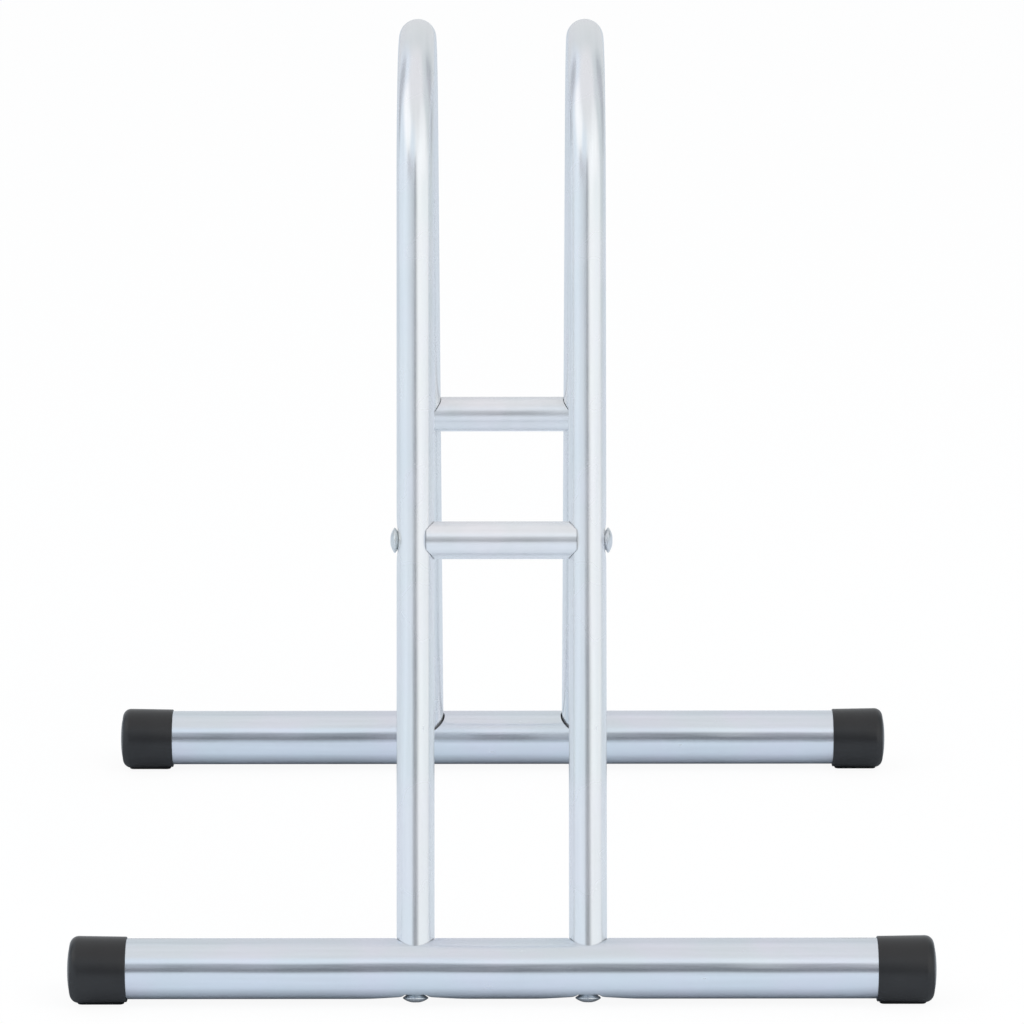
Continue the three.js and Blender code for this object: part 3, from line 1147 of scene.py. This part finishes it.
@dataclass
class EndCap:
    """A moulded cap over a base tube's end, with a flat sole."""

    plan: RackPlan
    end: End
    side: Side
    length: float = 31.2 * MM
    seat_gap: float = 0.3 * MM
    mouth_wall: float = 0.95 * MM
    taper: float = 0.4 * MM
    drop: float = 0.35 * MM
    crown: float = 1.1 * MM
    fillet: float = 4.8 * MM
    lip_round: float = 0.5 * MM
    sole_width: float = 11 * MM
    sole_end_setback: float = 5 * MM
    sole_mouth_setback: float = 1.5 * MM
    sole_corner: float = 2.5 * MM
    sole_corner_steps: int = 6
    sole_edge_round: float = 0.35 * MM
    sole_edge_steps: int = 3
    sole_root_share: float = 2 / 3
    sides: int = 128
    fillet_steps: int = 10
    lip_steps: int = 5
    crown_steps: int = 8

    def build(self) -> bpy.types.Object:
        """Turn the round, add the sole and set the cap on its tube.

        Returns:
            The cap.
        """
        plan = self.plan
        name = node_name("end_cap", self.end, self.side)
        work = self.turn_round(name)
        work.combine([self.sole()], "UNION")
        outward = Vector((self.side.value, 0, 0))
        tube_end = Vector((self.side.value * plan.base_length / 2,
                           self.end.value * plan.half_spacing, plan.base_height))
        place = stand(tube_end, outward, DOWN)
        work.settle(place)
        work.smooth()
        work.store_upright(place)
        return work.hand_in(name, CAP_PLASTIC)

    @property
    def top(self) -> float:
        """Height of the middle of the closed end over the tube's end."""
        return (self.plan.overall_length - self.plan.base_length) / 2

    @property
    def mouth(self) -> float:
        """Height of the mouth's edge over the tube's end."""
        return self.top - self.length

    def turn_round(self, name: str) -> Workpiece:
        """Turn the cap without its sole, from the bottom of the bore round to the closed end.

        Args:
            name: Name of the piece.

        Returns:
            The round.
        """
        bore = self.plan.base_radius + self.seat_gap
        mouth_radius = bore + self.mouth_wall
        end_radius = mouth_radius + self.taper
        work = Workpiece(name, self.sides, bore, self.seat_gap)
        work.edit()
        work.ring(bore, self.mouth + self.lip_round / 2)
        work.ring(bore + self.lip_round / 4, self.mouth)
        lip_centre = mouth_radius - self.lip_round
        work.ring(lip_centre, self.mouth, self.drop)
        for i in range(1, self.lip_steps + 1):
            angle = math.pi / 2 * (i / self.lip_steps - 1)
            work.ring(lip_centre + self.lip_round * math.cos(angle),
                      self.mouth + self.lip_round * (1 + math.sin(angle)))
        flat = end_radius - self.fillet
        shoulder = self.top - self.crown - self.fillet
        for i in range(self.fillet_steps + 1):
            angle = math.pi / 2 * i / self.fillet_steps
            work.ring(flat + self.fillet * math.cos(angle), shoulder + self.fillet * math.sin(angle))
        for i in range(1, self.crown_steps):
            share = 1 - i / self.crown_steps
            work.ring(flat * share, self.top - self.crown * share**3)
        work.pole(self.top)
        work.fill_open_rings()
        work.face_outwards()
        return work

    def sole(self) -> bpy.types.Object:
        """Block with round corners that stands out of the cap's underside, at its +X.

        Returns:
            The block.
        """
        depth = self.plan.base_height
        root = self.plan.base_radius + self.seat_gap + self.sole_root_share * self.mouth_wall
        low = self.mouth + self.sole_mouth_setback
        high = self.top - self.sole_end_setback
        clear_selection()
        bpy.ops.mesh.primitive_cube_add(size=1, location=((depth + root) / 2, 0, (low + high) / 2))
        block = bpy.context.active_object
        block.scale = (depth - root, self.sole_width, high - low)
        bpy.ops.object.transform_apply(location=True, rotation=True, scale=True)
        bpy.ops.object.mode_set(mode="EDIT")
        self.round_edges(block, lambda a, b: abs(a.x - b.x) > (depth - root) / 2,
                         self.sole_corner, self.sole_corner_steps)
        self.round_edges(block, lambda a, b: min(a.x, b.x) > depth - TINY,
                         self.sole_edge_round, self.sole_edge_steps)
        bpy.ops.object.mode_set(mode="OBJECT")
        return block

    @staticmethod
    def round_edges(block: bpy.types.Object, chosen: Callable[[Vector, Vector], bool],
                    radius: float, steps: int) -> None:
        """Bevel the edges of a block that a rule picks by their two ends.

        Args:
            block: The block, in edit mode.
            chosen: The rule.
            radius: Radius of the bevel.
            steps: Segments of the bevel.
        """
        bpy.ops.mesh.select_mode(type="EDGE")
        bpy.ops.mesh.select_all(action="DESELECT")
        bpy.ops.object.mode_set(mode="OBJECT")
        points = block.data.vertices
        for edge in block.data.edges:
            first, second = (points[i].co for i in edge.vertices)
            edge.select = chosen(first, second)
        bpy.ops.object.mode_set(mode="EDIT")
        bpy.ops.mesh.bevel(offset=radius, segments=steps, affect="EDGES")


def base_seat_distance(plan: RackPlan, bolts: BoltSizes) -> float:
    """Base tube's axis to the base bolt's seat, set by the head's gap above the floor."""
    return (plan.base_height - bolts.floor_gap) / math.cos(plan.lean) - bolts.head_height


@dataclass
class Fastener:
    """A dome-head bolt and the threaded plug that it screws into."""

    bolts: BoltSizes
    bolt_node: str
    plug_node: str
    seat: Vector
    inward: Vector
    plug_distance: float
    plug_radius: float
    socket_turn: float
    dome_steps: int = 12
    dome_end_share: float = 0.35

    def build(self) -> None:
        """Make the bolt and its plug."""
        self.build_bolt()
        self.build_plug()

    def place(self, distance: float) -> Matrix:
        """Placement of a piece at a distance beyond the seat."""
        towards = UP if abs(self.inward.x) > abs(self.inward.z) else RIGHTWARD
        return stand(self.seat + self.inward * distance, self.inward, towards)

    def build_bolt(self) -> bpy.types.Object:
        """Turn the bolt from its tip to its dome, cut the socket and set the bolt in its seat.

        Returns:
            The bolt.
        """
        sizes = self.bolts
        tip = self.plug_distance + sizes.grip
        work = Workpiece(self.bolt_node, sizes.sides, sizes.thread_radius - sizes.tip_chamfer, tip)
        work.edit()
        work.ring(sizes.thread_radius, tip - sizes.tip_chamfer)
        ridges = int((tip - 2 * sizes.tip_chamfer) / sizes.thread_pitch)
        for i in range(ridges):
            crest = tip - sizes.tip_chamfer - (i + 1) * sizes.thread_pitch
            work.ring(sizes.thread_radius - sizes.thread_depth, crest + sizes.thread_pitch / 2)
            work.ring(sizes.thread_radius, crest)
        work.rings(self.head_profile())
        work.pole(-sizes.head_height)
        work.fill_open_rings()
        work.face_outwards()
        socket_radius = sizes.socket_flats / math.sqrt(3)
        socket_place = (Matrix.Translation(DOWN * (sizes.head_height + sizes.socket_depth))
                        @ Matrix.Rotation(self.socket_turn, 4, "Z"))
        work.combine([bar(socket_radius, 2 * sizes.socket_depth, 6, socket_place)])
        place = self.place(0)
        work.settle(place)
        work.smooth()
        work.store_upright(place)
        return work.hand_in(self.bolt_node, BOLT_ZINC)

    def head_profile(self) -> list[tuple[float, float]]:
        """Outline of the head, from the neck to near the middle of its dome.

        Returns:
            Pairs of a radius and a height.
        """
        sizes = self.bolts
        curve = (sizes.head_radius**2 + sizes.dome_height**2) / (2 * sizes.dome_height)
        centre = curve - sizes.head_height
        rim_low = -(sizes.cone_height + sizes.rim_height)
        edge = sizes.edge_round
        profile = [
            (sizes.thread_radius, 0),
            (sizes.neck_radius, 0),
            (sizes.head_radius - edge, edge - sizes.cone_height),
            (sizes.head_radius, -edge - sizes.cone_height),
            (sizes.head_radius, rim_low + edge),
        ]
        start = math.asin(sizes.head_radius / curve)
        for i in range(self.dome_steps):
            angle = start * (1 - (i + self.dome_end_share) / self.dome_steps)
            profile.append((curve * math.sin(angle), centre - curve * math.cos(angle)))
        return profile

    def build_plug(self) -> bpy.types.Object:
        """Turn the plug and set it where the bolt's thread ends.

        Returns:
            The plug.
        """
        sizes = self.bolts
        chamfer = sizes.plug_chamfer
        hole = sizes.hole_radius
        length = sizes.plug_length
        work = Workpiece(self.plug_node, sizes.sides, hole + chamfer, 0)
        work.edit()
        work.rings([
            (self.plug_radius - chamfer, 0),
            (self.plug_radius, chamfer),
            (self.plug_radius, length - chamfer),
            (self.plug_radius - chamfer, length),
            (hole + chamfer, length),
            (hole, length - chamfer),
            (hole, chamfer),
        ])
        work.bridge_open_rings()
        work.face_outwards()
        place = self.place(self.plug_distance)
        work.settle(place)
        work.smooth()
        work.store_upright(place)
        return work.hand_in(self.plug_node, PLUG_STEEL)


@dataclass
class BoltSet:
    """All eight bolts and their plugs."""

    plan: RackPlan
    bolts: BoltSizes
    tube_wall: float = 1.5 * MM
    first_turn: float = math.radians(11)
    next_turn: float = math.radians(17)

    def build(self) -> None:
        """Make the fasteners of each leg, each head turned a little further than the last."""
        turn = self.first_turn
        for side in Side:
            for end in End:
                self.base_fastener(side, end, turn).build()
                self.rung_fastener(side, end, -turn).build()
                turn += self.next_turn

    def base_fastener(self, side: Side, end: End, turn: float) -> Fastener:
        """Bolt up through a base tube into a leg.

        Args:
            side: The leg's side.
            end: The leg's end of the rack.
            turn: How far the bolt's socket is turned.

        Returns:
            The bolt with its plug.
        """
        plan = self.plan
        seat_distance = base_seat_distance(plan, self.bolts)
        return Fastener(
            bolts=self.bolts,
            bolt_node=node_name("base_bolt", end, side),
            plug_node=node_name("leg_nut", end, side),
            seat=plan.on_leg(side, end, -seat_distance),
            inward=plan.up_leg(end),
            plug_distance=seat_distance - plan.leg_overrun,
            plug_radius=plan.hoop_radius - self.tube_wall - self.bolts.seat_gap,
            socket_turn=turn,
        )

    def rung_fastener(self, side: Side, end: End, turn: float) -> Fastener:
        """Bolt through a leg into a rung.

        Args:
            side: The leg's side.
            end: The leg's end of the rack.
            turn: How far the bolt's socket is turned.

        Returns:
            The bolt with its plug.
        """
        plan = self.plan
        inward = Vector((-side.value, 0, 0))
        seat_distance = plan.hoop_radius - self.bolts.rung_seat_depth
        axis_point = plan.on_leg(side, end, plan.rung_distance)
        return Fastener(
            bolts=self.bolts,
            bolt_node=node_name("rung_bolt", end, side),
            plug_node=node_name("rung_nut", end, side),
            seat=axis_point - inward * seat_distance,
            inward=inward,
            plug_distance=seat_distance + plan.hoop_radius + 2 * self.bolts.seat_gap,
            plug_radius=plan.rung_radius - self.tube_wall - self.bolts.seat_gap,
            socket_turn=turn,
        )


# ---- Studio ----


@dataclass(frozen=True)
class PhotoCamera:
    """Camera at the photograph's viewpoint."""

    place: tuple[float, float, float] = (4.66 * MM, -2919.3 * MM, 985.46 * MM)
    yaw: float = math.radians(0.019)
    pitch: float = math.radians(14.826)
    roll: float = math.radians(-0.05)
    focal_pixels: float = 5440.9
    frame_pixels: float = 1024
    sensor: float = 36
    clip: tuple[float, float] = (0.1, 50)

    def build(self) -> None:
        """Set up the scene's camera."""
        data = bpy.data.cameras.new("camera")
        data.sensor_width = self.sensor
        data.lens = self.focal_pixels / self.frame_pixels * self.sensor
        data.clip_start, data.clip_end = self.clip
        camera = bpy.data.objects.new("camera", data)
        bpy.context.scene.collection.objects.link(camera)
        turn = (Matrix.Rotation(-self.yaw, 4, "Z") @ Matrix.Rotation(math.pi / 2 - self.pitch, 4, "X")
                @ Matrix.Rotation(self.roll, 4, "Z"))
        camera.matrix_world = Matrix.Translation(self.place) @ turn
        bpy.context.scene.camera = camera


@dataclass(frozen=True)
class SkyPatch:
    """Softly edged patch of the studio's surroundings. Angles in degrees, from the front and the level."""

    azimuth: tuple[float, float]
    elevation: tuple[float, float]
    softness: float
    colour: Colour

    def paint(self, graph: NodeGraph, below: Socket, azimuth: Socket, elevation: Socket) -> Socket:
        """Lay the patch over a colour.

        Args:
            graph: The world's nodes.
            below: Colour under the patch.
            azimuth: Direction round the rack, in degrees from the front, positive to the right.
            elevation: Direction above the level, in degrees.

        Returns:
            The colour with the patch on it.
        """
        share = graph.maths("MULTIPLY", self.window(graph, azimuth, self.azimuth),
                            self.window(graph, elevation, self.elevation))
        return graph.blend(share, below, self.colour)

    def window(self, graph: NodeGraph, angle: Socket, limits: tuple[float, float]) -> Socket:
        """Share of the patch at an angle, with soft edges.

        Args:
            graph: The world's nodes.
            angle: The angle.
            limits: Angles between which the patch lies.

        Returns:
            1 between the limits and 0 outside them.
        """
        low, high = limits
        soft = self.softness
        enter = graph.remap(angle, (low - soft, low + soft), (0, 1), "SMOOTHSTEP")
        leave = graph.remap(angle, (high - soft, high + soft), (1, 0), "SMOOTHSTEP")
        return graph.maths("MULTIPLY", enter, leave)


@dataclass(frozen=True)
class Lamp:
    """Soft square lamp that faces the rack. Its size is in metres and its power in watts."""

    name: str
    place: tuple[float, float, float]
    size: float
    power: float
    aim: tuple[float, float, float] = (0, 0, 0.2)

    def hang(self) -> None:
        """Hang the lamp in its place, unseen in reflections."""
        data = bpy.data.lights.new(self.name, "AREA")
        data.size = self.size
        data.energy = self.power
        lamp = bpy.data.objects.new(self.name, data)
        bpy.context.scene.collection.objects.link(lamp)
        lamp.location = self.place
        lamp.rotation_euler = (Vector(self.aim) - Vector(self.place)).to_track_quat("-Z", "Y").to_euler()
        lamp.visible_glossy = False


@dataclass(frozen=True)
class Studio:
    """White studio: soft light all round, bright softboxes in front and narrow dim gaps between them."""

    plan: RackPlan
    lamps: tuple[Lamp, ...] = (
        Lamp("key lamp", (1.6, -1.6, 2.6), size=1.6, power=22),
        Lamp("fill lamp", (-2.2, -1.2, 1.8), size=1.8, power=10),
    )
    floor_size: float = 16
    left_colour: Colour = (0.80, 0.89, 0.98, 1)
    right_colour: Colour = (0.98, 0.99, 1.0, 1)
    side_blend: tuple[float, float] = (-12, 12)
    patches: tuple[SkyPatch, ...] = (
        SkyPatch((90, 150), (-90, 60), 8, (0.60, 0.65, 0.67, 1)),  # right wall, towards the rear
        SkyPatch((145, 200), (-90, 60), 8, (0.71, 0.73, 0.75, 1)),  # rear wall's right half
        SkyPatch((-200, -145), (-90, 60), 8, (0.71, 0.73, 0.75, 1)),  # rear wall's left half
        SkyPatch((-138, -118), (2, 38), 4, (0.36, 0.38, 0.42, 1)),  # dim gap at the rear left
        SkyPatch((118, 138), (2, 38), 4, (0.36, 0.38, 0.42, 1)),  # dim gap at the rear right
        SkyPatch((-200, 200), (56, 200), 10, (0.81, 0.81, 0.82, 1)),  # ceiling
        SkyPatch((-110, -42), (30, 58), 6, (1.16, 1.16, 1.16, 1)),  # high softbox on the left
        SkyPatch((16, 74), (-10, 17), 5, (0.94, 0.98, 1.01, 1)),  # low softbox on the right
        SkyPatch((16, 74), (17, 42), 5, (1.12, 1.13, 1.13, 1)),  # high softbox on the right
        SkyPatch((-54, -10), (20, 35), 4, (0.47, 0.50, 0.55, 1)),  # dim gap below the left softbox
        SkyPatch((4, 17), (1, 17), 3, (0.20, 0.21, 0.24, 1)),  # dark gap beside the right softbox
        SkyPatch((-17, 9), (4, 19), 4, (0.14, 0.15, 0.17, 1)),  # dark gap round the camera
        SkyPatch((-6, 6), (15, 37), 3, (0.14, 0.15, 0.17, 1)),  # dark gap above the camera
    )
    floor_gloss_colour: Colour = (0.76, 0.81, 0.87, 1)
    floor_seen_share: float = 0.92
    floor_gloss_share: float = 0.05
    # painted shadow on the floor under each base tube, seen in reflections: its darkest share and its reach
    tube_shade: float = 0.42
    tube_shade_reach: float = 26 * MM

    def build(self) -> None:
        """Set up the surroundings, the floor and the lamps."""
        self.surroundings()
        self.floor()
        for lamp in self.lamps:
            lamp.hang()
        bpy.context.scene.view_settings.view_transform = "Standard"

    def surroundings(self) -> None:
        """World light: white for the camera, and a soft studio all round for everything else."""
        world = bpy.data.worlds.new("studio")
        bpy.context.scene.world = world
        world.use_nodes = True
        graph = NodeGraph(world.node_tree)
        direction = graph.add("ShaderNodeTexCoord").outputs["Generated"]
        parts = graph.add("ShaderNodeSeparateXYZ", {0: direction})
        front = graph.maths("MULTIPLY", parts.outputs[1], -1)
        azimuth = graph.maths("DEGREES", graph.maths("ARCTAN2", parts.outputs[0], front))
        elevation = graph.maths("DEGREES", graph.maths("ARCSINE", parts.outputs[2]))
        rightness = graph.remap(azimuth, self.side_blend, (0, 1), "SMOOTHSTEP")
        colour = graph.blend(rightness, self.left_colour, self.right_colour)
        for patch in self.patches:
            colour = patch.paint(graph, colour, azimuth, elevation)
        light = graph.add("ShaderNodeBackground", {"Color": colour}).outputs[0]
        seen = graph.add("ShaderNodeBackground", {"Color": WHITE}).outputs[0]
        path = graph.add("ShaderNodeLightPath").outputs
        mix = graph.add("ShaderNodeMixShader", {0: path["Is Camera Ray"], 1: light, 2: seen})
        graph.add("ShaderNodeOutputWorld", {"Surface": mix.outputs[0]})

    def floor(self) -> None:
        """Plain white floor that keeps a faint shadow."""
        clear_selection()
        bpy.ops.mesh.primitive_plane_add(size=self.floor_size)
        floor = bpy.context.active_object
        floor.name = "floor"
        floor.data.materials.append(self.floor_material())

    def floor_material(self) -> bpy.types.Material:
        """Floor's surface, which glows a little towards the camera and is clear from below.

        Returns:
            The material.
        """
        material = bpy.data.materials.new("floor")
        material.use_nodes = True
        graph = NodeGraph(material.node_tree)
        path = graph.add("ShaderNodeLightPath").outputs
        colour = graph.blend(path["Is Camera Ray"], self.mirrored_floor(graph), WHITE)
        shaded = graph.add("ShaderNodeBsdfDiffuse", {"Color": colour}).outputs[0]
        glow = graph.add("ShaderNodeEmission", {"Color": colour}).outputs[0]
        seen_glow = graph.maths("MULTIPLY", path["Is Camera Ray"], self.floor_seen_share)
        mirrored = graph.maths("MAXIMUM", path["Is Glossy Ray"], path["Is Transmission Ray"])
        mirrored_glow = graph.maths("MULTIPLY", mirrored, self.floor_gloss_share)
        share = graph.maths("MAXIMUM", seen_glow, mirrored_glow)
        mix = graph.add("ShaderNodeMixShader", {0: share, 1: shaded, 2: glow}).outputs[0]
        clear = graph.add("ShaderNodeBsdfTransparent").outputs[0]
        below = graph.add("ShaderNodeNewGeometry").outputs["Backfacing"]
        two_sided = graph.add("ShaderNodeMixShader", {0: below, 1: mix, 2: clear}).outputs[0]
        graph.add("ShaderNodeOutputMaterial", {"Surface": two_sided})
        return material

    def mirrored_floor(self, graph: NodeGraph) -> Socket:
        """Colour of the floor in reflections, with a painted shadow along each base tube.

        Args:
            graph: The material's nodes.

        Returns:
            The colour.
        """
        place = graph.add("ShaderNodeTexCoord").outputs["Object"]
        depth = graph.add("ShaderNodeSeparateXYZ", {0: place}).outputs[1]
        offset = graph.maths("SUBTRACT", graph.maths("ABSOLUTE", depth), self.plan.half_spacing)
        shade = graph.remap(graph.maths("ABSOLUTE", offset), (0, self.tube_shade_reach),
                            (self.tube_shade, 1), "SMOOTHSTEP")
        return graph.blend(1, self.floor_gloss_colour, graph.grey(shade), "MULTIPLY")


def main() -> None:
    """Build the rack piece by piece in its studio."""
    logging.basicConfig(level=logging.INFO, format="%(name)s: %(message)s", force=True)
    plan = RackPlan.measure()
    bolts = BoltSizes()
    log.info("plan: %s", plan)
    for side in Side:
        Hoop(plan, bolts, side).build()
    for end in End:
        BaseTube(plan, bolts, end).build()
        Rung(plan, bolts, end).build()
        for side in Side:
            EndCap(plan, end, side).build()
    BoltSet(plan, bolts).build()
    Studio(plan).build()
    PhotoCamera().build()


if __name__ == "__main__":
    main()
